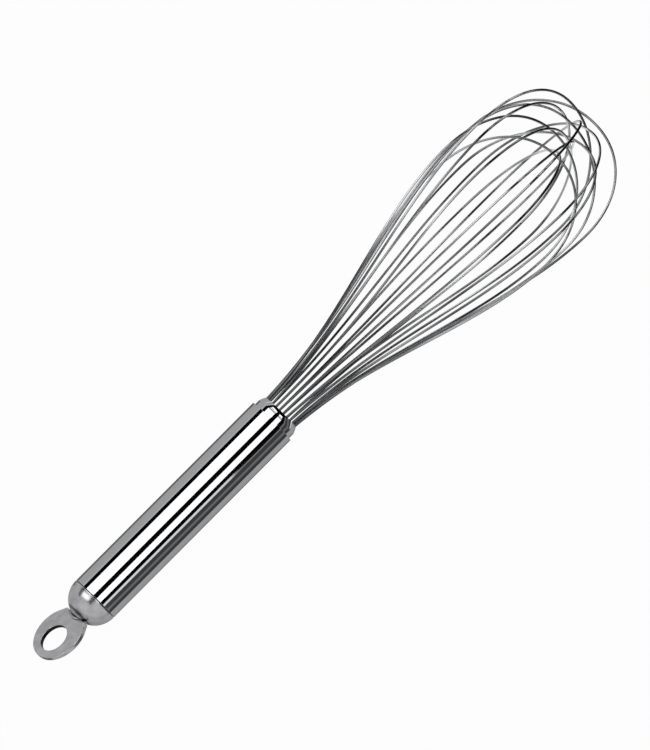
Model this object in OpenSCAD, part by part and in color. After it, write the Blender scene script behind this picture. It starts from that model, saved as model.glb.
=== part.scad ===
// Balloon whisk: a sealed tube handle with a welded hanging eye and twelve nested wire loops.
// The handle's axis lies along X, with the eye's hole at the origin and the cage towards +X.
// Millimetres.

/* [Handle] */
// Outside diameter of the handle tube
handle_d = 24; // [20:0.5:30]
// Length of the handle tube
handle_l = 113.7; // [80:0.1:180]
// Wall of the handle tube
handle_wall = 1; // [0.6:0.1:1.5]

/* [End cap] */
// Length of the cap's spigot inside the tube
spigot_l = 10; // [5:0.5:20]
// Wall of the hollow spigot
spigot_wall = 2; // [1:0.1:3]
// Thickness of the half ball at its pole
dome_wall = 5.6; // [5:0.1:7]
// Groove left at the seam between cap and tube
seam_gap = 0.3; // [0.1:0.05:0.6]
// Bevel on the edges of the seam and on the tube's mouth
edge_bevel = 0.1; // [0.05:0.05:0.3]

/* [Hanging eye] */
// Outside diameter of the eye's ring
eye_d = 27.2; // [24:0.2:30]
// Diameter of the hole in the eye
eye_hole_d = 13.8; // [8:0.2:16]
// How far the hole lies from the ring's centre, away from the handle
eye_offset = 3; // [0:0.1:4]
// Distance from the hole's centre to the half ball
eye_reach = 13.4; // [12:0.1:18]
// Thickness of the eye
eye_t = 2.2; // [1.5:0.1:4]
// Width of the eye's shoulders where they meet the half ball
neck_w = 17; // [15:0.2:20]
// How far the eye's shoulders rise beside the half ball's pole
neck_rise = 1; // [0.6:0.1:2]
// Turn of the eye about the handle's axis
eye_turn = 50; // [0:5:90]
// Width of the tang that is let into the half ball
tang_w = 6; // [4:0.5:8]
// Length of the tang in the half ball
tang_l = 4; // [2:0.2:4.6]
// Radius of the weld bead on each face of the eye
bead_r = 1.2; // [0.6:0.1:1.4]

/* [Ferrule] */
// How far the ferrule's nose stands out of the tube
nose_l = 5.7; // [3:0.1:10]
// Gap between the nose and the tube's mouth
nose_gap = 0.1; // [0.05:0.05:0.6]
// Wall of the nose
nose_wall = 1.35; // [0.8:0.05:1.6]
// Wall left at the lip of the nose, inside its rounded shoulder
lip_wall = 0.1; // [0.1:0.05:0.6]
// Length of the nose's rounded shoulder
shoulder_l = 3.2; // [1:0.1:4]
// Form of the shoulder: 1 is a plain cone, more is rounder
shoulder_form = 1.6; // [1:0.1:2.5]
// How far below the tube's mouth the sleeve grows to the tube's bore
sleeve_drop = 1.3; // [0.5:0.1:3]
// Length of the ferrule below the backing disc
ferrule_tail = 2; // [1:0.5:6]

/* [Wire seat] */
// Length of wire held between the core and the ferrule
wire_grip = 17; // [10:1:24]
// How far the core's top lies below the lip
core_sink = 0.8; // [0.2:0.1:2]
// Thickness of the backing disc under the wires' ends
disc_t = 1.5; // [1:0.1:3]
// Depth of the resin that seals the handle below the ferrule
resin_l = 6; // [3:0.5:12]

/* [Wire cage] */
// Diameter of the wire
wire_d = 1.2; // [0.8:0.1:1.6]
// Width of the cage over its wires
cage_w = 73.8; // [60:0.2:90]
// Height of the tallest crown above the lip, to the wire's centre
cage_h = 194.4; // [160:0.2:240]
// Height of every crown above the widest place of its loop
crown_h = 41.5; // [34:0.5:54]
// Gap left between wires that are stacked at the crown
crown_gap = 0.3; // [0.25:0.05:0.6]
// Fullness of the crown's curve: 2 is an ellipse, more is squarer
crown_fullness = 2.1; // [2:0.05:2.6]
// How late the legs swell: less than 1 swells sooner
leg_swell = 1.1; // [0.8:0.01:1.3]
// How much the legs flare where they leave the lip: 0 is not at all
leg_flare = 0.37; // [0:0.01:0.6]

/* [Fits] */
// Clearance on the radius between pieces that slip together
slip = 0.05; // [0.02:0.01:0.1]

/* [Hidden] */
$fn = 72;

// Each loop, in the order of its seats round the core: how many wire layers its crown lies
// below the tallest one, how far it leans sideways at the crown's height, how far it is turned
// from its seat at its widest place, and how far its crown is pushed along its own plane.
// Lean and push are in hundredths of the cage's radius.
LAYERS = 0;
LEAN = 1;
TURN = 2;
PUSH = 3;
loops = [
    [2.7, 8, 0, -4.5],
    [14.2, 16, -5, -4],
    [2.8, 20, -2, 10.5],
    [7.6, 21, -5.5, 16.5],
    [15.3, 19.5, -1.5, -2],
    [0, 19.5, -1.5, 1.5],
    [5.1, 15.5, 8.5, -11.5],
    [10.7, 7, 0, -6],
    [0.9, 3, -3, -19],
    [4.6, -13.5, 3.5, -3],
    [9.4, 20, -8, -19],
    [8.9, 23.5, 1, -4.5],
];
loop_count = len(loops);
seat_pitch = 180 / loop_count;

handle_r = handle_d / 2;
bore_r = handle_r - handle_wall;
eye_r = eye_d / 2;
ball_r = handle_r + slip;
wire_r = wire_d / 2;

// Heights along the handle's axis, from the centre of the eye's hole
seam_z = eye_reach + handle_r;
tube_z = seam_z + seam_gap;
mouth_z = tube_z + handle_l;
lip_z = mouth_z + nose_l;
wire_end_z = lip_z - wire_grip;
disc_z = wire_end_z - disc_t;
ferrule_z = disc_z - ferrule_tail;

nose_r = bore_r - nose_gap;
seat_r = nose_r - nose_wall;
shoulder_w = nose_wall - lip_wall;
ring_r = seat_r - slip - wire_r;
cage_r = cage_w / 2 - wire_r;

// How far a cut runs past the solid that it goes through
through = 1;

// Rings and sides of a swept wire, and steps of the nose's shoulder
leg_rings = 16;
crown_rings = 26;
wire_sides = 8;
shoulder_steps = 10;

function loop_name(k) = str("wire_loop_", k < 9 ? "0" : "", k + 1);

// Lays the upright whisk along X, seen from above as it lies on a table
module level() rotate([0, 90, 0]) rotate([0, 0, -90]) children();

module steel() color([0.78, 0.79, 0.8]) level() children();

module satin_steel() color([0.64, 0.65, 0.65]) level() children();

module dark() color([0.2, 0.2, 0.2]) level() children();

module disc(r, from, to) translate([0, 0, from]) cylinder(r = r, h = to - from);

// The tube ends square, with a fine bevel at each end.
module handle_tube() steel() rotate_extrude() polygon([
    [bore_r, tube_z],
    [handle_r - edge_bevel, tube_z],
    [handle_r, tube_z + edge_bevel],
    [handle_r, mouth_z - edge_bevel],
    [handle_r - edge_bevel, mouth_z],
    [bore_r, mouth_z]
]);

// Lays out the plane of the eye: x across it, y along the handle, z out of its front face
module eye_plane() rotate([0, 0, -eye_turn]) rotate([90, 0, 0]) children();

module tang(extra) eye_plane() translate([-tang_w / 2 - extra, 0, -eye_t / 2 - extra])
    cube([tang_w + 2 * extra, eye_reach + tang_l + extra, eye_t + 2 * extra]);

// A half ball with a spigot for the tube and a slot for the eye's tang
module end_cap() satin_steel() {
    plug_r = bore_r - slip;
    difference() {
        union() {
            intersection() {
                translate([0, 0, seam_z]) sphere(r = handle_r);
                disc(handle_d, eye_reach - through, seam_z - edge_bevel);
            }
            translate([0, 0, seam_z - edge_bevel])
                cylinder(r1 = handle_r, r2 = handle_r - edge_bevel, h = edge_bevel);
            disc(plug_r, seam_z - edge_bevel, seam_z + spigot_l);
        }
        disc(plug_r - spigot_wall, eye_reach + dome_wall, seam_z + spigot_l + through);
        tang(slip);
    }
}

// A flat ring with an eccentric hole. Its sides run straight to the shoulders, which are hollowed
// out to fit the half ball, and a tang goes on into the ball.
module hanging_eye() satin_steel() {
    corner = [neck_w / 2, eye_reach + neck_rise];
    reach = corner - [0, eye_offset];
    touch_a = atan2(reach.y, reach.x) - acos(min(1, eye_r / norm(reach)));
    touch = eye_r * [cos(touch_a), sin(touch_a)] + [0, eye_offset];
    difference() {
        eye_plane() translate([0, 0, -eye_t / 2]) union() {
            translate([0, eye_offset]) cylinder(r = eye_r, h = eye_t);
            linear_extrude(eye_t)
                polygon([corner, touch, [-touch.x, touch.y], [-corner.x, corner.y]]);
        }
        translate([0, 0, seam_z]) sphere(r = ball_r);
        eye_plane() translate([0, 0, -eye_t]) cylinder(d = eye_hole_d, h = 2 * eye_t);
    }
    intersection() {
        tang(0);
        disc(handle_r, eye_reach - bead_r, seam_z);
    }
}

// A fillet weld in the corner between one face of the eye and the half ball
module weld(side) satin_steel() {
    half_angle = acos((handle_r - neck_rise) / ball_r);
    difference() {
        eye_plane() translate([0, seam_z, side * eye_t / 2])
            rotate([0, 0, 270 - half_angle]) rotate_extrude(angle = 2 * half_angle)
                translate([ball_r, 0]) circle(r = bead_r);
        translate([0, 0, seam_z]) sphere(r = ball_r);
        eye_plane() translate([-eye_d, -eye_d, -eye_t / 2 - slip])
            cube([2 * eye_d, 3 * eye_d, eye_t + 2 * slip]);
    }
}

// A sleeve in the tube, with a smaller nose that rounds over to a thin lip
module mouth_ferrule() steel() rotate_extrude() {
    sleeve_r = bore_r - slip;
    sleeve_top = mouth_z - sleeve_drop;
    translate([seat_r, ferrule_z]) square([sleeve_r - seat_r, sleeve_top - ferrule_z]);
    translate([seat_r, sleeve_top]) square([nose_wall, lip_z - shoulder_l - sleeve_top]);
    translate([seat_r, lip_z - shoulder_l]) polygon(concat(
        [[0, 0]],
        [for (i = [0 : shoulder_steps]) let (t = i / shoulder_steps)
            [lip_wall + shoulder_w * (1 - pow(t, shoulder_form)), shoulder_l * t]],
        [[0, shoulder_l]]
    ));
}

// A plug with a half-round groove for each leg of each loop
module wire_core() dark() difference() {
    disc(ring_r, wire_end_z, lip_z - core_sink);
    for (k = [0 : 2 * loop_count - 1])
        rotate([0, 0, (k + 0.5) * seat_pitch])
            translate([ring_r, 0, 0]) disc(wire_r + slip, wire_end_z - through, lip_z + through);
}

module backing_disc() steel() disc(seat_r - slip, disc_z, wire_end_z);

// Resin that fills the ferrule's tail and the tube just below it
module resin_seal() dark() {
    disc(bore_r - slip, ferrule_z - resin_l, ferrule_z);
    disc(seat_r - slip, ferrule_z, disc_z);
}

function ease(t) = let (c = max(0, min(1, t))) c * c * (3 - 2 * c);

function crown_z(k) = cage_h - loops[k][LAYERS] * (wire_d + crown_gap);

function widest_z(k) = crown_z(k) - crown_h;

// Distance of a leg from the axis at a height above the lip
function leg_r(k, z) = let (
    t = max(z, 0) / widest_z(k),
    flare = leg_flare * t * pow(1 - t, 2)
) ring_r + (cage_r - ring_r) * (flare + ease(pow(t, leg_swell)));

function of_radius(hundredths) = cage_r * hundredths / 100;

function seat_angle(k) = (k + 0.5) * seat_pitch - 90;

// Sets a point of a loop's own plane, s across and z above the lip, in its place on the whisk
function set_out(k, s, z) = let (
    a = seat_angle(k) + loops[k][TURN] * ease(z / widest_z(k)),
    shift = of_radius(loops[k][LEAN]) * max(z, 0) / cage_h
) [s * cos(a) + shift, s * sin(a), lip_z + z];

function squared(c) = sign(c) * pow(abs(c), 2 / crown_fullness);

// The centre line of a loop: up one leg, over the crown and down the other leg
function loop_path(k) = let (
    heights = concat([-wire_grip], [for (i = [0 : leg_rings - 1]) widest_z(k) * i / leg_rings]),
    last = len(heights) - 1
) concat(
    [for (z = heights) set_out(k, leg_r(k, z), z)],
    [for (i = [0 : crown_rings]) let (
        a = 180 * i / crown_rings,
        s = cage_r * squared(cos(a)) + of_radius(loops[k][PUSH]) * pow(sin(a), 2)
    ) set_out(k, s, widest_z(k) + crown_h * squared(sin(a)))],
    [for (i = [last : -1 : 0]) set_out(k, -leg_r(k, heights[i]), heights[i])]
);

function unit(v) = v / norm(v);

// One ring of points round a path, with its flats set by the plane that the path lies in
function wire_ring(path, i, plane) = let (
    last = len(path) - 1,
    along = unit(path[min(i + 1, last)] - path[max(i - 1, 0)]),
    side = unit(cross(plane, along)),
    up = cross(along, side)
) [for (j = [0 : wire_sides - 1]) let (a = 360 * (j + 0.5) / wire_sides)
    path[i] + wire_r * (cos(a) * side + sin(a) * up)];

module wire_loop(k) steel() {
    path = loop_path(k);
    plane = [-sin(seat_angle(k)), cos(seat_angle(k)), 0];
    last = len(path) - 1;
    n = wire_sides;
    points = [for (i = [0 : last]) each wire_ring(path, i, plane)];
    walls = [for (i = [0 : last - 1], j = [0 : n - 1]) let (
        a = i * n + j,
        b = i * n + (j + 1) % n
    ) each [[a, a + n, b], [b, a + n, b + n]]];
    top = last * n;
    start_face = [for (j = [1 : n - 2]) [0, j, j + 1]];
    end_face = [for (j = [1 : n - 2]) [top, top + j + 1, top + j]];
    polyhedron(points = points, faces = concat(walls, start_face, end_face));
}

handle_tube();
end_cap();
hanging_eye();
weld(1);  // weld_front
weld(-1);  // weld_back
mouth_ferrule();
wire_core();
backing_disc();
resin_seal();
for (k = [0 : loop_count - 1])
    wire_loop(k);
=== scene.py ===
# %% [markdown]
# # A balloon whisk, dressed around its CAD frame
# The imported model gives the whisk's true size and place: its handle lies along X, with the hole
# of the hanging eye at the origin and the wire cage towards +X. In this lesson each piece that
# shows is modelled again with fine, smooth faces, and every piece gets its real finish. A whisk
# is nearly all mirror, so a good part of the lesson is about what the steel sees round it.

# %% Load the frame
import math

import bmesh
import bpy
from mathutils import Matrix, Vector


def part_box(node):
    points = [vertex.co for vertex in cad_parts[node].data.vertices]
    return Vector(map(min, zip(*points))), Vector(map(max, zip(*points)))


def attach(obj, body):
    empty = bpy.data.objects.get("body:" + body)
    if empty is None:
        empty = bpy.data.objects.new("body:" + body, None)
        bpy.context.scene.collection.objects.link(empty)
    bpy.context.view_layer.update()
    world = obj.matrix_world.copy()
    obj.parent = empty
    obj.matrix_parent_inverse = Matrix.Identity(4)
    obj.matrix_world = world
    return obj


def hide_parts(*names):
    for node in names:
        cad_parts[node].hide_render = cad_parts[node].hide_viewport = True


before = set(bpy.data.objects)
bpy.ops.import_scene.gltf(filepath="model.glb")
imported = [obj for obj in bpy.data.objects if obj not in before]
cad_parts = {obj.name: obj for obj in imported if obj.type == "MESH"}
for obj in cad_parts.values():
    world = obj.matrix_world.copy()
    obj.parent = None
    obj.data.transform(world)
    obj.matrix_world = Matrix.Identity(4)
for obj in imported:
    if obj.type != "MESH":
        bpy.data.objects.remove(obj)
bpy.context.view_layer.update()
scene = bpy.context.scene
scene.view_settings.view_transform = "Standard"
MM = 0.001

# %% [markdown]
# ## The camera
# The whisk was photographed from almost straight above with a long lens, with the handle's axis
# at 45 degrees across the picture and the eye's end a little nearer to the lens. A camera can be
# aimed with a constraint, but writing its three axes down is plainer: one vector for the way it
# looks, one for the picture's right and one for its top. The sensor is fitted to the picture's
# height, so the width of the render doesn't change what is seen.

# %% Camera
CAMERA_AWAY = 6000 * MM
PICTURE_HEIGHT = 340.5 * MM
PICTURE_CENTRE = Vector((171.5, -2.2, 0)) * MM
CAMERA_TILT = math.radians(4)
AXIS_ROLL = math.radians(45.09)
SENSOR = 36

looks = Vector((math.sin(CAMERA_TILT), 0, -math.cos(CAMERA_TILT)))
axis_seen = Vector((math.cos(CAMERA_TILT), 0, math.sin(CAMERA_TILT)))
side_seen = looks.cross(axis_seen) * -1
right = math.cos(AXIS_ROLL) * axis_seen - math.sin(AXIS_ROLL) * side_seen
top = math.sin(AXIS_ROLL) * axis_seen + math.cos(AXIS_ROLL) * side_seen

camera_data = bpy.data.cameras.new("studio_camera")
camera_data.sensor_fit = "VERTICAL"
camera_data.sensor_height = SENSOR
camera_data.lens = SENSOR * CAMERA_AWAY / PICTURE_HEIGHT
camera = bpy.data.objects.new("studio_camera", camera_data)
camera.matrix_world = Matrix.Translation(PICTURE_CENTRE - CAMERA_AWAY * looks) @ Matrix(
    (right, top, -looks)
).transposed().to_4x4()
scene.collection.objects.link(camera)
scene.camera = camera
print("lens, mm:", round(camera_data.lens, 1))

# %% [markdown]
# ## Helpers for materials
# Colours are written as the sRGB values that a paint program shows. The shader wants linear
# light, so one function turns them. A second one adds a node, sets its values and joins its
# links, which keeps each material short enough to read as a recipe. Patterns are given by the
# size of one cell in millimetres, and a third function turns such sizes into the shader's scale.

# %% Colour and node helpers
def linear(hex_colour):
    """An sRGB colour such as "C8C9CB" as linear red, green, blue and alpha."""
    parts = [int(hex_colour[i : i + 2], 16) / 255 for i in (0, 2, 4)]
    low = 0.04045
    return [p / 12.92 if p <= low else ((p + 0.055) / 1.055) ** 2.4 for p in parts] + [1]


def add(tree, kind, inputs=None, **settings):
    """Adds one shader node; an input is a value, or the socket to link it from."""
    node = tree.nodes.new("ShaderNode" + kind)
    for name, value in settings.items():
        setattr(node, name, value)
    for name, value in (inputs or {}).items():
        if isinstance(value, bpy.types.NodeSocket):
            tree.links.new(value, node.inputs[name])
        else:
            node.inputs[name].default_value = value
    return node


def cells(*sizes):
    """How many cells of each size, in millimetres, lie in a metre."""
    return [1 / (size * MM) for size in sizes]


def new_material(name):
    """An empty node material: its tree and the material."""
    material = bpy.data.materials.new(name)
    material.use_nodes = True
    material.node_tree.nodes.clear()
    return material.node_tree, material


print("sRGB mid grey is", round(linear("808080")[0], 3), "in linear light")

# %% [markdown]
# ## Mirror-polished stainless tube
# The handle is drawn stainless tube that was buffed on a wheel. Buffing leaves a true mirror with
# a faint grain that runs along the tube, which shows only as a slight change of gloss. The grain
# is a noise drawn out along X: one cell is 40 mm long and 0.8 mm wide. The real lines are about
# twenty times finer and wouldn't show, so they are drawn coarser. A noise stays mostly between
# 0.3 and 0.7, so that span is spread over the range of the gloss.

# %% Mirror-polished stainless
STAINLESS = linear("CFD0D2")
GRAIN_LONG = 40
GRAIN_WIDE = 0.8
NOISE_SPAN = {"From Min": 0.3, "From Max": 0.7}

tree, mirror_polished = new_material("mirror_polished_stainless")
place = add(tree, "TexCoord")
grain_at = add(
    tree,
    "Mapping",
    {"Vector": place.outputs["Object"], "Scale": cells(GRAIN_LONG, GRAIN_WIDE, GRAIN_WIDE)},
)
grain = add(tree, "TexNoise", {"Vector": grain_at.outputs[0], "Scale": 1, "Detail": 3})
gloss = add(
    tree,
    "MapRange",
    {"Value": grain.outputs["Fac"], **NOISE_SPAN, "To Min": 0.03, "To Max": 0.045},
)
steel = add(
    tree,
    "BsdfPrincipled",
    {"Base Color": STAINLESS, "Metallic": 1, "Roughness": gloss.outputs[0]},
)
add(tree, "OutputMaterial", {"Surface": steel.outputs[0]})
print(mirror_polished.name, "has", len(tree.nodes), "nodes")

# %% [markdown]
# ## Satin stainless
# The end cap and the eye were blasted and tumbled, not buffed. Tiny dimples scatter the light, so
# the half ball shows only soft patches of the lamps. A wide noise, with cells of 4 mm, stands for
# the cloudy look that tumbling leaves, and a fine one for the dimples, which are drawn 0.25 mm
# wide, about three times coarser than life, so that they show.

# %% Satin stainless: clouds and dimples
CLOUD = 4
DIMPLE = 0.25

tree, satin = new_material("satin_tumbled_stainless")
place = add(tree, "TexCoord")
clouds = add(
    tree, "TexNoise", {"Vector": place.outputs["Object"], "Scale": cells(CLOUD)[0], "Detail": 3}
)
dimples = add(
    tree, "TexNoise", {"Vector": place.outputs["Object"], "Scale": cells(DIMPLE)[0], "Detail": 2}
)
tone = add(
    tree,
    "MixRGB",
    {"Fac": clouds.outputs["Fac"], "Color1": linear("AEAEB2"), "Color2": linear("F4F4F6")},
)
print(satin.name, "starts with", len(tree.nodes), "nodes")

# %% [markdown]
# Painted shade darkens the narrow groove of the seam, where the cap goes on into the tube. More
# painted shade lies where the ball meets the eye: at the toe and in a ring on the ball, which the
# cap's points carry as an attribute, and in a border on the plate along its seat, which is read
# from the distance to the ball's centre. The wall of the eye's hole gets painted shade too, and
# the eye's points mark it.

# %% Satin stainless: painted shade in the seam, at the ball's rim and on the hole's wall
SEAM_X = 25.4
SEAM_NEAR = 0.05
HANDLE_R = 12
BALL_SKIN = 0.03
SEAT_SHADE_WIDTH = 1.6
RIM_SHADE_COLOUR = "4E4D4C"

position = add(tree, "SeparateXYZ", {0: place.outputs["Object"]})
# Painted shade: every point past the seam is painted near black, for the dark groove.
seam_shade = add(
    tree,
    "Math",
    {0: position.outputs["X"], 1: (SEAM_X - SEAM_NEAR) * MM},
    operation="GREATER_THAN",
)
tone = add(
    tree,
    "MixRGB",
    {"Fac": seam_shade.outputs[0], "Color1": tone.outputs[0], "Color2": linear("1E1E20")},
)
# Painted shade on the plate: darkest at the ball's seat, fading out a little further away.
from_ball = add(
    tree,
    "VectorMath",
    {0: place.outputs["Object"], 1: (SEAM_X * MM, 0, 0)},
    operation="DISTANCE",
)
off_ball = add(
    tree,
    "Math",
    {0: from_ball.outputs["Value"], 1: (HANDLE_R + BALL_SKIN) * MM},
    operation="GREATER_THAN",
)
near_ball = add(
    tree,
    "MapRange",
    {
        "Value": from_ball.outputs["Value"],
        "From Min": HANDLE_R * MM,
        "From Max": (HANDLE_R + SEAT_SHADE_WIDTH) * MM,
        "To Min": 1,
        "To Max": 0,
    },
)
plate_shade = add(
    tree, "Math", {0: off_ball.outputs[0], 1: near_ball.outputs[0]}, operation="MULTIPLY"
)
tone = add(
    tree,
    "MixRGB",
    {"Fac": plate_shade.outputs[0], "Color1": tone.outputs[0], "Color2": linear(RIM_SHADE_COLOUR)},
)
# Painted shade on the wall of the eye's hole and along the ball's rim, read from marks on the
# points.
for attribute_name, hex_colour in (("hole_wall_shade", "2A2A2C"), ("painted_rim_shade", RIM_SHADE_COLOUR)):
    marked = add(tree, "Attribute", attribute_name=attribute_name)
    tone = add(
        tree,
        "MixRGB",
        {"Fac": marked.outputs["Fac"], "Color1": tone.outputs[0], "Color2": linear(hex_colour)},
    )
print(satin.name, "goes on to", len(tree.nodes), "nodes")

# %% [markdown]
# The clouds change the gloss as well as the colour, and the dimples become a bump.

# %% Satin stainless: gloss and bump
DIMPLE_DEPTH = 0.05

gloss = add(
    tree,
    "MapRange",
    {"Value": clouds.outputs["Fac"], **NOISE_SPAN, "To Min": 0.2, "To Max": 0.27},
)
blasted = add(
    tree,
    "Bump",
    {"Height": dimples.outputs["Fac"], "Strength": 0.12, "Distance": DIMPLE_DEPTH * MM},
)
steel = add(
    tree,
    "BsdfPrincipled",
    {
        "Base Color": tone.outputs[0],
        "Metallic": 1,
        "Roughness": gloss.outputs[0],
        "Normal": blasted.outputs[0],
    },
)
add(tree, "OutputMaterial", {"Surface": steel.outputs[0]})
print(satin.name, "has", len(tree.nodes), "nodes")

# %% [markdown]
# ## Bright drawn wire
# The loops are spring wire pulled through a polished die, which leaves a bright skin with fine
# lines along the wire. The lines have to follow every bend, so they can't be read from the
# wire's place in space. Each wire carries an attribute that says where its skin would be if the
# wire were pulled straight, and the noise is drawn on that: 25 mm long and 0.15 mm wide, which is
# about ten times the width of real die lines, so that they show.
# The colour holds painted reflection. At the mouth the wires are painted dark grey, a painted dark
# reflection, which fades out further up. Beyond that, each wire changes from dark grey to bright
# in stretches of about 60 mm along its way, a painted reflection of what it mirrors.

# %% Drawn wire with painted reflection
DARK_MOUTH_X = 145
LIT_FROM_X = 235
REFLECTION_STRETCH = 60
REFLECTION_SPAN = {"From Min": 0.38, "From Max": 0.62}
LINE_LONG = 25
LINE_WIDE = 0.15

tree, wire_with_painted_reflection = new_material("drawn_stainless_wire_with_painted_reflection")
straight = add(tree, "Attribute", attribute_name="straightened")
lines_at = add(
    tree,
    "Mapping",
    {"Vector": straight.outputs["Vector"], "Scale": cells(LINE_LONG, LINE_WIDE, LINE_WIDE)},
)
die_lines = add(tree, "TexNoise", {"Vector": lines_at.outputs[0], "Scale": 1, "Detail": 2})
gloss = add(
    tree,
    "MapRange",
    {"Value": die_lines.outputs["Fac"], **NOISE_SPAN, "To Min": 0.08, "To Max": 0.14},
)
place = add(tree, "TexCoord")
position = add(tree, "SeparateXYZ", {0: place.outputs["Object"]})
# Painted dark reflection at the mouth, fading out between the two places.
past_dark_mouth = add(
    tree,
    "MapRange",
    {"Value": position.outputs["X"], "From Min": DARK_MOUTH_X * MM, "From Max": LIT_FROM_X * MM},
)
reflection_at = add(
    tree,
    "Mapping",
    {"Vector": straight.outputs["Vector"], "Scale": cells(REFLECTION_STRETCH, REFLECTION_STRETCH, REFLECTION_STRETCH)},
)
reflection_noise = add(tree, "TexNoise", {"Vector": reflection_at.outputs[0], "Scale": 1, "Detail": 1})
reflected_light_share = add(tree, "MapRange", {"Value": reflection_noise.outputs["Fac"], **REFLECTION_SPAN})
# Painted reflection: along each wire the colour changes from dark grey to bright in stretches.
skin = add(
    tree,
    "MixRGB",
    {"Fac": reflected_light_share.outputs[0], "Color1": linear("5E5F62"), "Color2": linear("D8D9DB")},
)
# The painted dark reflection at the mouth is mixed in here.
tone = add(
    tree,
    "MixRGB",
    {"Fac": past_dark_mouth.outputs[0], "Color1": linear("5C5D5F"), "Color2": skin.outputs[0]},
)
steel = add(
    tree,
    "BsdfPrincipled",
    {"Base Color": tone.outputs[0], "Metallic": 1, "Roughness": gloss.outputs[0]},
)
add(tree, "OutputMaterial", {"Surface": steel.outputs[0]})
print(wire_with_painted_reflection.name, "has", len(tree.nodes), "nodes")

# %% [markdown]
# ## The pieces inside the handle
# Three CAD pieces sit deep in the handle: the grooved plastic core between the wires, the steel
# disc below it and the resin that seals the tube. The core can just be made out between the
# wires at the mouth. They keep their CAD shape, and each gets the finish that it has in life.
# The core is moulded polypropylene. A spark-eroded mould gives it a grain of 0.3 mm.

# %% Moulded plastic
ERODED = 0.3
ERODED_DEPTH = 0.05

tree, moulded_plastic = new_material("moulded_black_polypropylene")
place = add(tree, "TexCoord")
eroded = add(
    tree, "TexNoise", {"Vector": place.outputs["Object"], "Scale": cells(ERODED)[0], "Detail": 3}
)
tone = add(
    tree,
    "MixRGB",
    {"Fac": eroded.outputs["Fac"], "Color1": linear("1B1B1C"), "Color2": linear("2A2A2B")},
)
skin = add(
    tree,
    "Bump",
    {"Height": eroded.outputs["Fac"], "Strength": 0.2, "Distance": ERODED_DEPTH * MM},
)
plastic = add(
    tree,
    "BsdfPrincipled",
    {"Base Color": tone.outputs[0], "Roughness": 0.5, "IOR": 1.49, "Normal": skin.outputs[0]},
)
add(tree, "OutputMaterial", {"Surface": plastic.outputs[0]})
print(moulded_plastic.name, "has", len(tree.nodes), "nodes")

# %% [markdown]
# The disc is punched from rolled sheet. Rolling draws its gloss out into streaks, 15 mm long and
# 0.4 mm wide.

# %% Rolled sheet
ROLL_LONG = 15
ROLL_WIDE = 0.4

tree, rolled_sheet = new_material("rolled_stainless_sheet")
place = add(tree, "TexCoord")
roll_at = add(
    tree,
    "Mapping",
    {"Vector": place.outputs["Object"], "Scale": cells(ROLL_WIDE, ROLL_LONG, ROLL_WIDE)},
)
rolled = add(tree, "TexNoise", {"Vector": roll_at.outputs[0], "Scale": 1, "Detail": 2})
gloss = add(
    tree,
    "MapRange",
    {"Value": rolled.outputs["Fac"], **NOISE_SPAN, "To Min": 0.3, "To Max": 0.45},
)
steel = add(
    tree,
    "BsdfPrincipled",
    {"Base Color": linear("B9BABC"), "Metallic": 1, "Roughness": gloss.outputs[0]},
)
add(tree, "OutputMaterial", {"Surface": steel.outputs[0]})
print(rolled_sheet.name, "has", len(tree.nodes), "nodes")

# %% [markdown]
# The seal is amber epoxy, poured in place. Faint clouds of 4 mm show where it was stirred. With
# that, all three inner pieces can be dressed.

# %% Cast resin
FLOW = 4

tree, cast_resin = new_material("cast_epoxy_resin")
place = add(tree, "TexCoord")
flow = add(
    tree, "TexNoise", {"Vector": place.outputs["Object"], "Scale": cells(FLOW)[0], "Detail": 2}
)
tone = add(
    tree,
    "MixRGB",
    {"Fac": flow.outputs["Fac"], "Color1": linear("6E5A38"), "Color2": linear("8A7448")},
)
resin = add(
    tree, "BsdfPrincipled", {"Base Color": tone.outputs[0], "Roughness": 0.25, "IOR": 1.55}
)
add(tree, "OutputMaterial", {"Surface": resin.outputs[0]})
print(cast_resin.name, "has", len(tree.nodes), "nodes")

# %% Dress the inner pieces
for node_name, material in (
    ("wire_core", moulded_plastic),
    ("backing_disc", rolled_sheet),
    ("resin_seal", cast_resin),
):
    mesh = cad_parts[node_name].data
    mesh.materials.clear()
    mesh.materials.append(material)
    print(node_name, "is", material.name)

# %% [markdown]
# ## Turned pieces
# Three pieces are round about the handle's axis: the tube, the nose ferrule and the end cap. Each
# starts as a closed outline in the plane of the axis, with x along the handle and y away from
# it, and a full spin turns the outline into a ring. An arc in an outline is itself a small spin
# of one point.

# %% Helpers for outlines
TURN_STEPS = 192
SAME_POINT = 0.0005


def point(bm, along, away):
    """A point of an outline, in millimetres."""
    return bm.verts.new((along * MM, away * MM, 0))


def chain(bm, last, pairs):
    """Straight lines from a point through (along, away) pairs; gives the last point."""
    for along, away in pairs:
        corner = point(bm, along, away)
        bm.edges.new((last, corner))
        last = corner
    return last


def arc(bm, start, centre, degrees, steps):
    """Swings a point about a centre in the plane of the outline; gives the arc's last point."""
    swung = bmesh.ops.spin(
        bm,
        geom=[start],
        cent=(centre[0] * MM, centre[1] * MM, 0),
        axis=(0, 0, 1),
        angle=math.radians(degrees),
        steps=steps,
    )
    return [item for item in swung["geom_last"] if isinstance(item, bmesh.types.BMVert)][0]


def spin_round(bm):
    """Turns an outline a full round about the handle's axis."""
    bmesh.ops.spin(
        bm,
        geom=bm.verts[:] + bm.edges[:],
        cent=(0, 0, 0),
        axis=(1, 0, 0),
        angle=2 * math.pi,
        steps=TURN_STEPS,
        use_merge=True,
    )
    bmesh.ops.remove_doubles(bm, verts=bm.verts[:], dist=SAME_POINT * MM)
    bmesh.ops.recalc_face_normals(bm, faces=bm.faces[:])


print("a full turn takes", TURN_STEPS, "steps")

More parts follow.
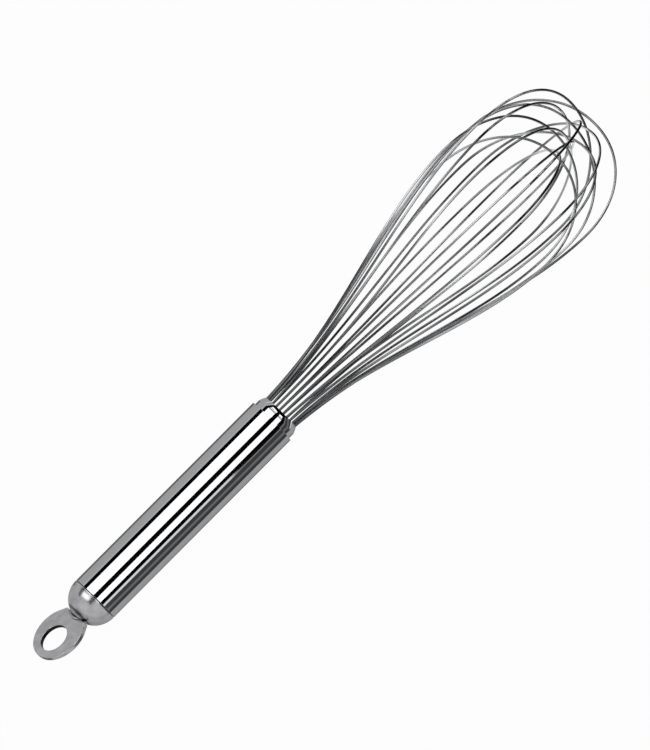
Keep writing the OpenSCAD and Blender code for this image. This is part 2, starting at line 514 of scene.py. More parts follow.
# %% [markdown]
# Every new piece is finished in the same way: it is shaded smooth with sharp corners kept, gets
# its material, rides on the whisk's one body and stands for its CAD piece. Smooth shading would
# bend the normals of the long tube wall towards its small bevels, and the mirror would show it,
# so a Weighted Normal modifier lets the large faces decide.

# %% Helpers for pieces
SHARP_ANGLE = math.radians(50)


def finish_piece(bm, node_name, material):
    """Makes the object, gives it its finish and lets it stand for a CAD node."""
    mesh = bpy.data.meshes.new(node_name + "_dressed")
    bm.to_mesh(mesh)
    bm.free()
    mesh.shade_smooth()
    mesh.set_sharp_from_angle(angle=SHARP_ANGLE)
    mesh.materials.append(material)
    piece = bpy.data.objects.new(node_name + "_dressed", mesh)
    scene.collection.objects.link(piece)
    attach(piece, "root")
    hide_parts(node_name)
    return piece


def weigh_normals(piece):
    """Lets the large faces of a piece set its shading."""
    weighted = piece.modifiers.new("weighted_normals", "WEIGHTED_NORMAL")
    weighted.keep_sharp = True


def report_fit(piece, node_name):
    """Prints how far a piece's box is from the box of the CAD node that it stands for."""
    low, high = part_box(node_name)
    corners = [Vector(corner) for corner in piece.bound_box]
    off = 0
    for i in range(3):
        values = [corner[i] for corner in corners]
        off = max(off, abs(min(values) - low[i]), abs(max(values) - high[i]))
    print(piece.name, len(piece.data.polygons), "faces, box off by", round(off / MM, 2), "mm")


print("corners over", round(math.degrees(SHARP_ANGLE)), "degrees stay sharp")

# %% [markdown]
# ### Handle tube
# A plain tube, 24 mm across and 1 mm thick. Both ends are cut square and have a fine bevel. The
# tube stops 0.3 mm short of the cap, so the seam reads as one thin dark line.

# %% Handle tube
BORE_R = 11
SEAM_GAP = 0.3
TUBE_X = SEAM_X + SEAM_GAP
MOUTH_X = 139.4
EDGE_BEVEL = 0.1

bm = bmesh.new()
first = point(bm, TUBE_X, BORE_R)
last = chain(
    bm,
    first,
    [
        (TUBE_X, HANDLE_R - EDGE_BEVEL),
        (TUBE_X + EDGE_BEVEL, HANDLE_R),
        (MOUTH_X - EDGE_BEVEL, HANDLE_R),
        (MOUTH_X, HANDLE_R - EDGE_BEVEL),
        (MOUTH_X, BORE_R),
    ],
)
bm.edges.new((last, first))
spin_round(bm)
tube = finish_piece(bm, "handle_tube", mirror_polished)
weigh_normals(tube)
report_fit(tube, "handle_tube")

# %% [markdown]
# ### Mouth ferrule
# The sleeve that holds the wires sits in the tube, and its slimmer nose stands 5.7 mm out of the
# mouth. The nose is spun over to a thin lip, so the stripes of the tube run on over it, bend in
# and stop at a dark rim. Its shoulder falls slowly at first and then nearly straight, which a
# power of the distance gives: 1 would be a cone, 2 a parabola, and 1.6 lies between them.

# %% Mouth ferrule
SLIP = 0.05
NOSE_R = 10.9
SEAT_R = 9.55
LIP_WALL = 0.1
SHOULDER_L = 3.2
SHOULDER_FORM = 1.6
SHOULDER_STEPS = 20
LIP_X = 145.1
FERRULE_X = 124.6
SLEEVE_TOP_X = 138.1

shoulder_x = LIP_X - SHOULDER_L
lip_r = SEAT_R + LIP_WALL
bm = bmesh.new()
shoulder_start = point(bm, shoulder_x, NOSE_R)
shares = [i / SHOULDER_STEPS for i in range(1, SHOULDER_STEPS + 1)]
fall = NOSE_R - lip_r
last = chain(
    bm,
    shoulder_start,
    [(shoulder_x + SHOULDER_L * t, NOSE_R - fall * t**SHOULDER_FORM) for t in shares]
    + [
        (LIP_X, SEAT_R),
        (FERRULE_X, SEAT_R),
        (FERRULE_X, BORE_R - SLIP),
        (SLEEVE_TOP_X, BORE_R - SLIP),
        (SLEEVE_TOP_X, NOSE_R),
    ],
)
bm.edges.new((last, shoulder_start))
spin_round(bm)
ferrule = finish_piece(bm, "mouth_ferrule", mirror_polished)
weigh_normals(ferrule)
report_fit(ferrule, "mouth_ferrule")

# %% [markdown]
# ### End cap
# The lower end is a half ball, turned from bar, with a hollow spigot that slips into the tube. Its
# outline starts at the pole and ends on the axis inside, so the spin closes it.

# %% End cap
POLE_X = SEAM_X - HANDLE_R
SPIGOT_R = BORE_R - SLIP
SPIGOT_WALL = 2
SPIGOT_END_X = SEAM_X + 10
DOME_FLOOR_X = POLE_X + 5.6
DOME_STEPS = 48

bm = bmesh.new()
pole = point(bm, POLE_X, 0)
to_bevel = math.degrees(math.acos(EDGE_BEVEL / HANDLE_R))
ball_end = arc(bm, pole, (SEAM_X, 0), -to_bevel, DOME_STEPS)
chain(
    bm,
    ball_end,
    [
        (SEAM_X, HANDLE_R - EDGE_BEVEL),
        (SEAM_X, SPIGOT_R),
        (SPIGOT_END_X, SPIGOT_R),
        (SPIGOT_END_X, SPIGOT_R - SPIGOT_WALL),
        (DOME_FLOOR_X, SPIGOT_R - SPIGOT_WALL),
        (DOME_FLOOR_X, 0),
    ],
)
spin_round(bm)
print("end cap turned with", len(bm.faces), "faces")

# %% [markdown]
# The eye's tang is let into a slot at the pole. To cut it, the faces near the pole are bisected
# along the slot's four sides, and the patch between them is pushed into the ball.

# %% Slot for the tang
EYE_T = 2.2
EYE_TURN = math.radians(50)
TANG_HALF = 3
TANG_END_X = POLE_X + 4

turn_to_eye = Matrix.Rotation(-EYE_TURN, 3, "X")
eye_across = turn_to_eye @ Vector((0, 1, 0))
eye_out = turn_to_eye @ Vector((0, 0, 1))
slot_half = {"across": (TANG_HALF + SLIP) * MM, "out": (EYE_T / 2 + SLIP) * MM}
for direction, half in ((eye_across, slot_half["across"]), (eye_out, slot_half["out"])):
    for sign in (-1, 1):
        near_pole = [face for face in bm.faces if face.calc_center_median().x < TANG_END_X * MM]
        parts = set(near_pole)
        for face in near_pole:
            parts.update(face.edges)
            parts.update(face.verts)
        bmesh.ops.bisect_plane(
            bm, geom=list(parts), dist=0, plane_co=direction * half * sign, plane_no=direction
        )
patch = []
for face in bm.faces:
    middle = face.calc_center_median()
    across, out = abs(middle.dot(eye_across)), abs(middle.dot(eye_out))
    if middle.x < TANG_END_X * MM and across < slot_half["across"] and out < slot_half["out"]:
        patch.append(face)
pushed = bmesh.ops.extrude_face_region(bm, geom=patch)["geom"]
bmesh.ops.delete(bm, geom=[face for face in patch if face.is_valid], context="FACES")
bmesh.ops.translate(
    bm,
    verts=[item for item in pushed if isinstance(item, bmesh.types.BMVert)],
    vec=((TANG_END_X + SLIP - POLE_X) * MM, 0, 0),
)
bmesh.ops.recalc_face_normals(bm, faces=bm.faces[:])
open_edges = sum(1 for edge in bm.edges if not edge.is_manifold)
print("slot of", len(patch), "faces,", open_edges, "open edges")

# %% [markdown]
# Painted shade darkens the ball at the bead's toe and in a ring a little further out. Each point
# carries how dark it is painted, and the satin material reads that.

# %% Painted shade on the ball
TOE_SHADE = 0.8
SHADE_RING = 2
SHADE_RING_HALF = 0.8

# Painted shade: full at the pole, and again in a ring a little further out.
painted_rim_shade = bm.verts.layers.float.new("painted_rim_shade")
for vert in bm.verts:
    from_pole = vert.co.x / MM - POLE_X
    vert[painted_rim_shade] = max(
        1 - from_pole / TOE_SHADE, 1 - abs(from_pole - SHADE_RING) / SHADE_RING_HALF, 0
    )
cap = finish_piece(bm, "end_cap", satin)
weigh_normals(cap)
report_fit(cap, "end_cap")

# %% [markdown]
# ### Hanging eye
# A flat ring plate with its hole off centre. Its sides run straight to two shoulders, and the end
# between them is hollowed to fit the half ball, with the tang in the middle. The outline is one
# long chain: the ring, a shoulder, an arc of the ball, the tang, and the same back again. It is
# filled round the hole.

# %% Outline of the eye
EYE_R = 13.6
EYE_HOLE_R = 6.9
EYE_OFFSET = 3
NECK_HALF = 8.5
NECK_X = POLE_X + 1
RING_STEPS = 96
HOLE_STEPS = 96
BALL_STEPS = 10

ball_seat_r = HANDLE_R + SLIP
neck_along = NECK_X - EYE_OFFSET
touch = math.atan2(NECK_HALF, neck_along) + math.acos(EYE_R / math.hypot(NECK_HALF, neck_along))
seat_away = math.sqrt(ball_seat_r**2 - (SEAM_X - NECK_X) ** 2)
seat_degrees = math.degrees(math.asin(seat_away / ball_seat_r))
tang_degrees = math.degrees(math.asin(TANG_HALF / ball_seat_r))

bm = bmesh.new()
first = point(bm, EYE_OFFSET + EYE_R * math.cos(touch), EYE_R * math.sin(touch))
last = arc(bm, first, (EYE_OFFSET, 0), 2 * (180 - math.degrees(touch)), RING_STEPS)
last = chain(bm, last, [(NECK_X, -NECK_HALF), (NECK_X, -seat_away)])
last = arc(bm, last, (SEAM_X, 0), tang_degrees - seat_degrees, BALL_STEPS)
last = chain(bm, last, [(TANG_END_X, -TANG_HALF), (TANG_END_X, TANG_HALF)])
tang_foot_x = SEAM_X - math.sqrt(ball_seat_r**2 - TANG_HALF**2)
last = chain(bm, last, [(tang_foot_x, TANG_HALF)])
last = arc(bm, last, (SEAM_X, 0), tang_degrees - seat_degrees, BALL_STEPS)
last = chain(bm, last, [(NECK_X, NECK_HALF)])
bm.edges.new((last, first))
bmesh.ops.create_circle(bm, segments=HOLE_STEPS, radius=EYE_HOLE_R * MM)
bmesh.ops.triangle_fill(bm, use_beauty=True, use_dissolve=False, edges=bm.edges[:])
print("outline of", len(bm.verts), "points, filled with", len(bm.faces), "faces")

# %% [markdown]
# The filled outline is extruded to its thickness. Its rims are bevelled, because a blanked and
# tumbled plate has no sharp edges. The seat on the ball and the tang stay sharp. The points on
# the wall of the hole are marked for painted shade before the eye is turned into place.

# %% Thickness and rims of the eye
RIM_ROUND = 0.3
RIM_SEGMENTS = 4
RIM_ANGLE = math.radians(60)
RIM_NEAR = 0.01
WALL_NEAR = 0.05

bmesh.ops.translate(bm, verts=bm.verts[:], vec=(0, 0, -EYE_T / 2 * MM))
raised = bmesh.ops.extrude_face_region(bm, geom=bm.faces[:], use_keep_orig=True)
bmesh.ops.translate(
    bm,
    verts=[item for item in raised["geom"] if isinstance(item, bmesh.types.BMVert)],
    vec=(0, 0, EYE_T * MM),
)
bmesh.ops.recalc_face_normals(bm, faces=bm.faces[:])
rims = []
for edge in bm.edges:
    level = abs(edge.verts[0].co.z - edge.verts[1].co.z) < RIM_NEAR * MM
    outside = max(vert.co.x for vert in edge.verts) < (NECK_X + RIM_NEAR) * MM
    in_seat = all(
        vert.co.x > POLE_X * MM and abs(vert.co.y) < (seat_away + RIM_NEAR) * MM
        for vert in edge.verts
    )
    if level and outside and not in_seat and edge.calc_face_angle(0) > RIM_ANGLE:
        rims.append(edge)
print(len(rims), "rim edges to round")
bmesh.ops.bevel(
    bm,
    geom=rims,
    offset=RIM_ROUND * MM,
    offset_type="OFFSET",
    segments=RIM_SEGMENTS,
    profile=0.5,
    affect="EDGES",
    material=-1,
)
# Painted shade: the points on the wall of the hole are marked 1.
hole_wall_shade = bm.verts.layers.float.new("hole_wall_shade")
for vert in bm.verts:
    vert[hole_wall_shade] = 1 if math.hypot(vert.co.x, vert.co.y) < (EYE_HOLE_R + WALL_NEAR) * MM else 0
bmesh.ops.rotate(bm, verts=bm.verts[:], cent=(0, 0, 0), matrix=turn_to_eye)
eye = finish_piece(bm, "hanging_eye", satin)
weigh_normals(eye)
report_fit(eye, "hanging_eye")

# %% [markdown]
# ### Weld beads
# A fillet weld runs in the corner between the half ball and each face of the eye. Its section is
# a quarter round that fills the corner, swung about the ball's centre as far as the ball and the
# plate touch. A bead runs out at both ends, and sooner at the end that lies towards the camera, so
# its points are drawn in towards the corner there.
# Painted shade darkens both toes of a bead, and a painted highlight brightens its crest. Each
# point of the section carries how near it is to the crest, and the colour follows that.

# %% Weld with painted shade and highlight
tree, weld_with_painted_shade = new_material("stainless_weld_with_painted_shade")
painted_crest_light = add(tree, "Attribute", attribute_name="painted_crest_light")
# Painted shade at the toes, painted highlight on the crest.
tone = add(
    tree,
    "MixRGB",
    {"Fac": painted_crest_light.outputs["Fac"], "Color1": linear("3C3B3B"), "Color2": linear("D4D4D6")},
)
steel = add(
    tree, "BsdfPrincipled", {"Base Color": tone.outputs[0], "Metallic": 1, "Roughness": 0.3}
)
add(tree, "OutputMaterial", {"Surface": steel.outputs[0]})
print(weld_with_painted_shade.name, "has", len(tree.nodes), "nodes")

# %% Weld beads
BEAD_R = 1.2
BEAD_DEGREES = 2 * seat_degrees
BEAD_STEPS = 40
SECTION_STEPS = 10
SHORT_END = 0.6
RUN_OUT = 0.1

foot = EYE_T / 2 + SLIP
crest = EYE_T / 2 + BEAD_R
ball_at_foot = math.sqrt(ball_seat_r**2 - foot**2)
ball_at_crest = math.sqrt(ball_seat_r**2 - crest**2)
for node_name, sign in (("weld_front", 1), ("weld_back", -1)):
    bm = bmesh.new()
    crest_light_layer = bm.verts.layers.float.new("painted_crest_light")
    toe = bm.verts.new(((SEAM_X - ball_seat_r - BEAD_R) * MM, 0, sign * foot * MM))
    swung = bmesh.ops.spin(
        bm,
        geom=[toe],
        cent=((SEAM_X - ball_seat_r) * MM, 0, sign * foot * MM),
        axis=(0, sign, 0),
        angle=math.pi / 2,
        steps=SECTION_STEPS,
    )
    for vert in bm.verts:
        rise = (abs(vert.co.z) / MM - foot) / BEAD_R
        vert[crest_light_layer] = math.sin(2 * math.asin(min(1, rise)))
    top = [item for item in swung["geom_last"] if isinstance(item, bmesh.types.BMVert)][0]
    last = top
    for away, height in ((ball_at_crest, crest), (ball_at_foot, foot)):
        corner = bm.verts.new(((SEAM_X - away) * MM, 0, sign * height * MM))
        bm.edges.new((last, corner))
        last = corner
    bm.edges.new((last, toe))
    bmesh.ops.edgeloop_fill(bm, edges=bm.edges[:])
    bmesh.ops.rotate(
        bm,
        verts=bm.verts[:],
        cent=(SEAM_X * MM, 0, 0),
        matrix=Matrix.Rotation(math.radians(-BEAD_DEGREES / 2), 3, "Z"),
    )
    bmesh.ops.spin(
        bm,
        geom=bm.verts[:] + bm.edges[:] + bm.faces[:],
        cent=(SEAM_X * MM, 0, 0),
        axis=(0, 0, 1),
        angle=math.radians(BEAD_DEGREES),
        steps=BEAD_STEPS,
    )
    for vert in bm.verts:
        angle = math.atan2(vert.co.y, SEAM_X * MM - vert.co.x)
        share = angle / math.radians(BEAD_DEGREES / 2)
        share /= 1 if share > 0 else SHORT_END
        corner = Vector(
            (
                SEAM_X - ball_at_foot * math.cos(angle),
                ball_at_foot * math.sin(angle),
                sign * foot,
            )
        )
        vert.co = (corner * MM).lerp(vert.co, max(1 - share**2, RUN_OUT))
    bmesh.ops.remove_doubles(bm, verts=bm.verts[:], dist=SAME_POINT * MM)
    bmesh.ops.recalc_face_normals(bm, faces=bm.faces[:])
    bmesh.ops.rotate(bm, verts=bm.verts[:], cent=(0, 0, 0), matrix=turn_to_eye)
    open_edges = sum(1 for edge in bm.edges if not edge.is_manifold)
    weld = finish_piece(bm, node_name, weld_with_painted_shade)
    report_fit(weld, node_name)
    print(open_edges, "open edges")

# %% [markdown]
# ## The wire cage
# Twelve loops of 1.2 mm wire nest in each other. The legs flare a little where they leave the
# ferrule, swell out along an S curve, and close over the top in a squared ellipse. The crowns
# lie at different heights, and each loop leans, turns and shifts a little, because a real cage
# is bent by hand and use. The table below is the one that the CAD source holds. Each row says
# how many wire layers the crown lies below the tallest one, how far the loop leans, how many
# degrees it is turned, and how far its crown is pushed along its own plane. Lean and push are in
# hundredths of the cage's radius.

# %% The line of a loop
WIRE_R = 0.6
RING_R = 8.9
CAGE_R = 36.3
CAGE_H = 194.4
CROWN_H = 41.5
LAYER = 1.5
FULLNESS = 2.1
SWELL = 1.1
FLARE = 0.37
WIRE_GRIP = 17
LEG_STEPS = 60
CROWN_STEPS = 90

LOOPS = [
    (2.7, 8, 0, -4.5),
    (14.2, 16, -5, -4),
    (2.8, 20, -2, 10.5),
    (7.6, 21, -5.5, 16.5),
    (15.3, 19.5, -1.5, -2),
    (0, 19.5, -1.5, 1.5),
    (5.1, 15.5, 8.5, -11.5),
    (10.7, 7, 0, -6),
    (0.9, 3, -3, -19),
    (4.6, -13.5, 3.5, -3),
    (9.4, 20, -8, -19),
    (8.9, 23.5, 1, -4.5),
]


def ease(share):
    """A soft start and a soft stop between 0 and 1."""
    share = min(max(share, 0), 1)
    return share * share * (3 - 2 * share)


def squared(value):
    """Fills out a sine or cosine, so that an ellipse becomes a little square."""
    return math.copysign(abs(value) ** (2 / FULLNESS), value)


def loop_line(number):
    """The centre line of a loop, as points in metres."""
    layers, lean, turn, push = LOOPS[number]
    crown = CAGE_H - layers * LAYER
    widest = crown - CROWN_H
    seat = math.radians((number + 0.5) * 180 / len(LOOPS) - 90)

    def set_out(across, height):
        angle = seat + math.radians(turn) * ease(height / widest)
        shift = CAGE_R * lean / 100 * max(height, 0) / CAGE_H
        sideways = across * math.cos(angle) + shift
        return Vector((LIP_X + height, -sideways, -across * math.sin(angle))) * MM

    def leg(height):
        share = max(height, 0) / widest
        flare = FLARE * share * (1 - share) ** 2
        return RING_R + (CAGE_R - RING_R) * (flare + ease(share**SWELL))

    heights = [-WIRE_GRIP] + [widest * i / LEG_STEPS for i in range(LEG_STEPS)]
    up = [set_out(leg(height), height) for height in heights]
    down = [set_out(-leg(height), height) for height in reversed(heights)]
    over = []
    for i in range(CROWN_STEPS + 1):
        angle = math.pi * i / CROWN_STEPS
        across = CAGE_R * squared(math.cos(angle))
        across += CAGE_R * push / 100 * math.sin(angle) ** 2
        over.append(set_out(across, widest + CROWN_H * squared(max(math.sin(angle), 0))))
    return up + over + down


print(len(LOOPS), "loops of", 2 * WIRE_R, "mm wire")

# %% [markdown]
# A wire could be a curve with a bevel, but then its skin would know nothing of its own length.
# Here a capped circle is stepped along the line: each step extrudes the cap and carries it to
# the next point with one matrix, turned by just as much as the line turns there, so the wire
# never twists. The extruded points bring their attribute along, and the step's length is added
# to it. All loops are cut from one coil, so each one starts where the last one ended.

# %% Sweep the wires
WIRE_SIDES = 12


def way(line, i):
    """The direction of a line at one of its points."""
    return (line[min(i + 1, len(line) - 1)] - line[max(i - 1, 0)]).normalized()


def sweep(line, cut_at):
    """A round wire along a line, with the place of its skin on the straightened coil."""
    bm = bmesh.new()
    straightened = bm.verts.layers.float_vector.new("straightened")
    made = bmesh.ops.create_circle(bm, cap_ends=True, segments=WIRE_SIDES, radius=WIRE_R * MM)
    for vert in made["verts"]:
        vert[straightened] = (cut_at, vert.co.x, vert.co.y)
    upright = Vector((0, 0, 1)).rotation_difference(way(line, 0)).to_matrix().to_4x4()
    place = Matrix.Translation(line[0]) @ upright
    bmesh.ops.transform(bm, matrix=place, verts=made["verts"])
    tip = bm.faces[:]
    for i in range(1, len(line)):
        grown = bmesh.ops.extrude_face_region(bm, geom=tip)["geom"]
        verts = [item for item in grown if isinstance(item, bmesh.types.BMVert)]
        tip = [item for item in grown if isinstance(item, bmesh.types.BMFace)]
        bend = way(line, i - 1).rotation_difference(way(line, i)).to_matrix().to_4x4()
        step = Matrix.Translation(line[i]) @ bend @ Matrix.Translation(-line[i - 1])
        bmesh.ops.transform(bm, matrix=step, verts=verts)
        length = (line[i] - line[i - 1]).length
        for vert in verts:
            vert[straightened] += Vector((length, 0, 0))
    bmesh.ops.recalc_face_normals(bm, faces=bm.faces[:])
    return bm


wires = []
coil_used = 0
for number in range(len(LOOPS)):
    node_name = f"wire_loop_{number + 1:02d}"
    line = loop_line(number)
    wire = finish_piece(sweep(line, coil_used), node_name, wire_with_painted_reflection)
    report_fit(wire, node_name)
    wires.append(wire)
    coil_used += sum((end - start).length for start, end in zip(line, line[1:]))
print("wire used from the coil, m:", round(coil_used, 2))

# %% [markdown]
# ## The table it lies on
# A whisk that is laid down rests on its cage and on the end of its handle. The part is modelled
# with a level handle, so here the table is turned to meet those two places instead. The camera
# sees the table as nearly white. Metal sees the plain diffuse paper with only a little white
# added, because the steel of this whisk mirrors a grey room, and the paper keeps the soft
# shadow.

# %% Studio paper
TABLE_PAPER = linear("B4B4B4")
WHITE_FOR_CAMERA = 0.965
WHITE_FOR_METAL = 0.05

tree, paper = new_material("white_studio_paper")
ray = add(tree, "LightPath")
seen = add(
    tree,
    "Math",
    {0: ray.outputs["Is Camera Ray"], 1: ray.outputs["Is Transmission Ray"]},
    operation="MAXIMUM",
)
metal_share = add(
    tree, "Math", {0: ray.outputs["Is Glossy Ray"], 1: WHITE_FOR_METAL}, operation="MULTIPLY"
)
white_share = add(
    tree,
    "Math",
    {0: seen.outputs[0], 1: WHITE_FOR_CAMERA, 2: metal_share.outputs[0]},
    operation="MULTIPLY_ADD",
)
matt = add(tree, "BsdfDiffuse", {"Color": TABLE_PAPER})
white = add(tree, "Emission", {"Color": (1, 1, 1, 1), "Strength": 1})
surface = add(
    tree, "MixShader", {0: white_share.outputs[0], 1: matt.outputs[0], 2: white.outputs[0]}
)
print(paper.name, "starts with", len(tree.nodes), "nodes")

# %% [markdown]
# Three painted dark patches lie on the paper for metal alone, each glowing with its own grey. One
# under the handle is a painted shadow of the handle and draws a thin dark line along each edge of
# the tube, one beyond the eye is a painted shadow that darkens the lower rim of the half ball, and
# a wide one off to the side gives the low streak on the tube. Each row holds a colour, where the
# shade starts and ends along the handle, its middle, and half its width at both ends, in
# millimetres. Seen from below, the paper is clear.

# %% Painted shade on the paper
PAINTED_FLOOR_SHADE = (
    ("707072", 22, 146, 5, 21, 33),
    ("707072", -75, -16, 0, 24, 16),
    ("454547", 22, 210, -500, 405, 350),
)

place = add(tree, "TexCoord")
position = add(tree, "SeparateXYZ", {0: place.outputs["Object"]})
# Each row adds a painted dark patch, which only glossy rays see.
for hex_colour, from_x, to_x, middle_y, half_from, half_to in PAINTED_FLOOR_SHADE:
    along = add(
        tree,
        "Math",
        {0: position.outputs["X"], 1: (from_x + to_x) / 2 * MM, 2: (to_x - from_x) / 2 * MM},
        operation="COMPARE",
    )
    half = add(
        tree,
        "MapRange",
        {
            "Value": position.outputs["X"],
            "From Min": from_x * MM,
            "From Max": to_x * MM,
            "To Min": half_from * MM,
            "To Max": half_to * MM,
        },
    )
    across = add(
        tree,
        "Math",
        {0: position.outputs["Y"], 1: middle_y * MM, 2: half.outputs[0]},
        operation="COMPARE",
    )
    zone = add(tree, "Math", {0: along.outputs[0], 1: across.outputs[0]}, operation="MULTIPLY")
    for_metal = add(
        tree,
        "Math",
        {0: zone.outputs[0], 1: ray.outputs["Is Glossy Ray"]},
        operation="MULTIPLY",
    )
    shade = add(tree, "Emission", {"Color": linear(hex_colour), "Strength": 1})
    surface = add(
        tree,
        "MixShader",
        {0: for_metal.outputs[0], 1: surface.outputs[0], 2: shade.outputs[0]},
    )
side = add(tree, "NewGeometry")
clear = add(tree, "BsdfTransparent")
one_sided = add(
    tree, "MixShader", {0: side.outputs["Backfacing"], 1: surface.outputs[0], 2: clear.outputs[0]}
)
add(tree, "OutputMaterial", {"Surface": one_sided.outputs[0]})
print(paper.name, "has", len(PAINTED_FLOOR_SHADE), "shades and", len(tree.nodes), "nodes")

# %% [markdown]
# The table's slope comes from the lowest point of the cage and the lowest point of the cap's
# seam. Then the table is lowered until no point of the cage or the cap is below it.

# %% Table
TABLE_SIZE = 6

cage_points = [vert.co for wire in wires for vert in wire.data.vertices]
cage_rest = min(cage_points, key=lambda spot: spot.z)
cap_rest = Vector((SEAM_X, 0, -HANDLE_R)) * MM
slope = math.atan2(cap_rest.z - cage_rest.z, cage_rest.x - cap_rest.x)
turned = Matrix.Rotation(slope, 3, "Y")
resting_points = cage_points + [vert.co for vert in cap.data.vertices]
lowest = min((turned.inverted() @ spot).z for spot in resting_points)

bm = bmesh.new()
bmesh.ops.create_grid(bm, x_segments=1, y_segments=1, size=TABLE_SIZE / 2)
bmesh.ops.translate(bm, verts=bm.verts[:], vec=(0, 0, lowest))
bmesh.ops.rotate(bm, verts=bm.verts[:], cent=(0, 0, 0), matrix=turned)
mesh = bpy.data.meshes.new("studio_table")
bm.to_mesh(mesh)
bm.free()
mesh.materials.append(paper)
table = bpy.data.objects.new("studio_table", mesh)
scene.collection.objects.link(table)
print("table turned by", round(math.degrees(slope), 1), "degrees")

# %% [markdown]
# ## Lights and cards
# A mirror shows nothing of its own, only what stands round it. The stripes on the tube say what
# that was: two rows of long soft boxes, a wide and a narrow one, with black cards between, beside
# and behind them. A stripe at an angle on the tube shows what stands at twice that angle about
# the axis, so each box and card is placed by two angles from the camera, counted towards -Y.
# The tube sees only the box right above it. The wires slope up and down and see further along,
# so breaks in the two rows give them their dark stretches. Places along the handle are in metres
# here, because the boxes and cards are far larger than the whisk.

# %% Soft boxes
BOX_AWAY = 0.7
BOX_POWER = 5.5
BOX_SPANS = ((-0.36, -0.06), (0.05, 0.4), (0.56, 0.66), (0.74, 1))


def soft_box(name, start, end, from_x, to_x):
    """A long area lamp that fills the angles from start to end about the handle's axis."""
    middle, half = math.radians((start + end) / 2), math.radians((end - start) / 2)
    lamp = bpy.data.lights.new(name, "AREA")
    lamp.shape = "RECTANGLE"
    lamp.size = to_x - from_x
    lamp.size_y = 2 * BOX_AWAY * math.tan(half)
    lamp.energy = BOX_POWER * lamp.size * lamp.size_y
    box = bpy.data.objects.new(name, lamp)
    box.location = (
        (from_x + to_x) / 2,
        -BOX_AWAY * math.sin(middle),
        BOX_AWAY * math.cos(middle),
    )
    box.rotation_euler = (middle, 0, 0)
    scene.collection.objects.link(box)


for name, start, end, spans in (
    ("wide", -60, -16, BOX_SPANS),
    ("narrow", 4.2, 27.3, BOX_SPANS[1:]),
):
    for number, (from_x, to_x) in enumerate(spans, 1):
        soft_box(f"{name}_soft_box_{number}", start, end, from_x, to_x)
print(len(bpy.data.lights), "soft boxes")

# %% [markdown]
# A card shows its own colour whatever falls on it. Only metal sees the cards, and they cast no
# shadow. A curved card is one straight edge, spun about the handle's axis.

# %% Helpers for cards
CARD_AWAY = 0.85
CARD_STEPS = 24


def card_material(name, hex_colour):
    """Paper that shows one colour whatever falls on it."""
    tree, material = new_material(name)
    glow = add(tree, "Emission", {"Color": linear(hex_colour), "Strength": 1})
    add(tree, "OutputMaterial", {"Surface": glow.outputs[0]})
    return material


def stand_card(bm, name, material):
    """Sets a card up where only metal sees it."""
    mesh = bpy.data.meshes.new(name)
    bm.to_mesh(mesh)
    bm.free()
    mesh.materials.append(material)
    stood = bpy.data.objects.new(name, mesh)
    stood.visible_camera = False
    stood.visible_diffuse = False
    stood.visible_transmission = False
    stood.visible_shadow = False
    scene.collection.objects.link(stood)
    print(name, "of", material.name)


def curved_card(name, start, end, from_x, to_x, material):
    """A curved card round the whisk, from one angle about the handle's axis to another."""
    begin = math.radians(start)
    bm = bmesh.new()
    ends = [
        bm.verts.new((x, -CARD_AWAY * math.sin(begin), CARD_AWAY * math.cos(begin)))
        for x in (from_x, to_x)
    ]
    edge = bm.edges.new(ends)
    bmesh.ops.spin(
        bm,
        geom=ends + [edge],
        cent=(0, 0, 0),
        axis=(1, 0, 0),
        angle=math.radians(end - start),
        steps=CARD_STEPS,
    )
    stand_card(bm, name, material)


print("curved cards stand", CARD_AWAY, "m from the handle's axis")

# %% [markdown]
# Black cards stand between, beside and behind the soft boxes. Narrow white, grey and dark cards
# stand at the right, past the black ones, and draw the fine streaks there. A row holds the two
# angles of a card and where it starts along the handle. The second list also has colours and
# ends.

# %% Cards round the whisk
CARDS_END_X = 1.4

black_card = card_material("black_card", "050505")
for name, start, end, from_x in (
    ("black_card_left", -79, -14, -0.5),
    ("black_card_middle", -18, 6, -0.5),
    ("black_card_right", 4, 43.5, 0.02),
):
    curved_card(name, start, end, from_x, CARDS_END_X, black_card)

for name, hex_colour, start, end, from_x, to_x in (
    ("white_card_high", "FFFFFF", 43.5, 53.5, 0.06, 0.16),
    ("dark_card_far", "242426", 43.5, 49, 0.16, CARDS_END_X),
    ("grey_card_far", "969698", 49, 57, 0.16, CARDS_END_X),
    ("dark_card_high", "49494B", 53.5, 72.5, 0.06, CARDS_END_X),
    ("grey_card_high", "7C7C7E", 72.5, 84, 0.06, CARDS_END_X),
    ("dark_card_low", "49494B", 84, 103, 0.06, CARDS_END_X),
    ("grey_card_low", "858587", 103, 111, 0.06, CARDS_END_X),
):
    curved_card(name, start, end, from_x, to_x, card_material(name, hex_colour))

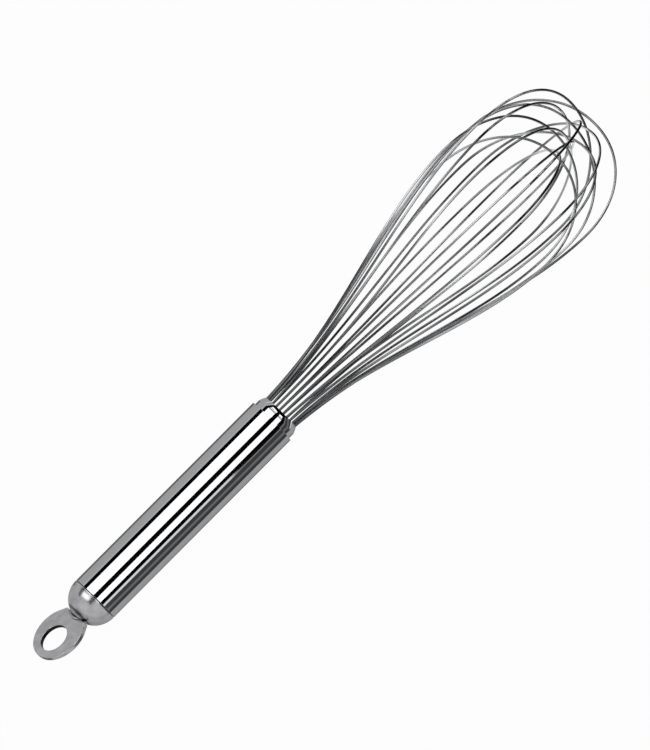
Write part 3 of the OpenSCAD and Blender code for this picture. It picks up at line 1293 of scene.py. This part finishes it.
# %% [markdown]
# A black disc closes the far end for the wires of the crown. A white and a black card lie 1 mm
# above the table, under the cage and beyond it, and are what the undersides of the wires see.
# Their rows say where they start and end along the handle and half their width, in millimetres.

# %% Cards at the end and on the table
DISC_SIDES = 48
FLOOR_CARD_UP = 1

bm = bmesh.new()
bmesh.ops.create_circle(bm, cap_ends=True, segments=DISC_SIDES, radius=CARD_AWAY)
upright = Matrix.Rotation(math.pi / 2, 3, "Y")
bmesh.ops.rotate(bm, verts=bm.verts[:], cent=(0, 0, 0), matrix=upright)
bmesh.ops.translate(bm, verts=bm.verts[:], vec=(CARDS_END_X, 0, 0))
stand_card(bm, "black_end_card", black_card)

for name, hex_colour, from_x, to_x, half in (
    ("white_floor_card", "FFFFFF", 230, 335, 300),
    ("black_floor_card", "0A0A0A", 345, 1400, 600),
):
    height = lowest + FLOOR_CARD_UP * MM
    corners = [(from_x, -half), (to_x, -half), (to_x, half), (from_x, half)]
    bm = bmesh.new()
    bm.faces.new([bm.verts.new((x * MM, y * MM, height)) for x, y in corners])
    bmesh.ops.rotate(bm, verts=bm.verts[:], cent=(0, 0, 0), matrix=turned)
    stand_card(bm, name, card_material(name, hex_colour))

# %% [markdown]
# ## The room
# Beyond the cards the room is pale grey, which is what the edges of the tube, the half ball and
# the flat of the eye show. The camera sees it as white.

# %% Room
ROOM_FOR_METAL = 0.6

world = bpy.data.worlds.new("pale_room")
world.use_nodes = True
scene.world = world
tree = world.node_tree
tree.nodes.clear()
ray = add(tree, "LightPath")
seen = add(
    tree,
    "Math",
    {0: ray.outputs["Is Camera Ray"], 1: ray.outputs["Is Transmission Ray"]},
    operation="MAXIMUM",
)
level = add(
    tree,
    "Math",
    {0: seen.outputs[0], 1: 1 - ROOM_FOR_METAL, 2: ROOM_FOR_METAL},
    operation="MULTIPLY_ADD",
)
room = add(tree, "Background", {"Color": (1, 1, 1, 1), "Strength": level.outputs[0]})
add(tree, "OutputWorld", {"Surface": room.outputs[0]})
print(world.name, "has a level of", ROOM_FOR_METAL, "for metal and 1 for the camera")
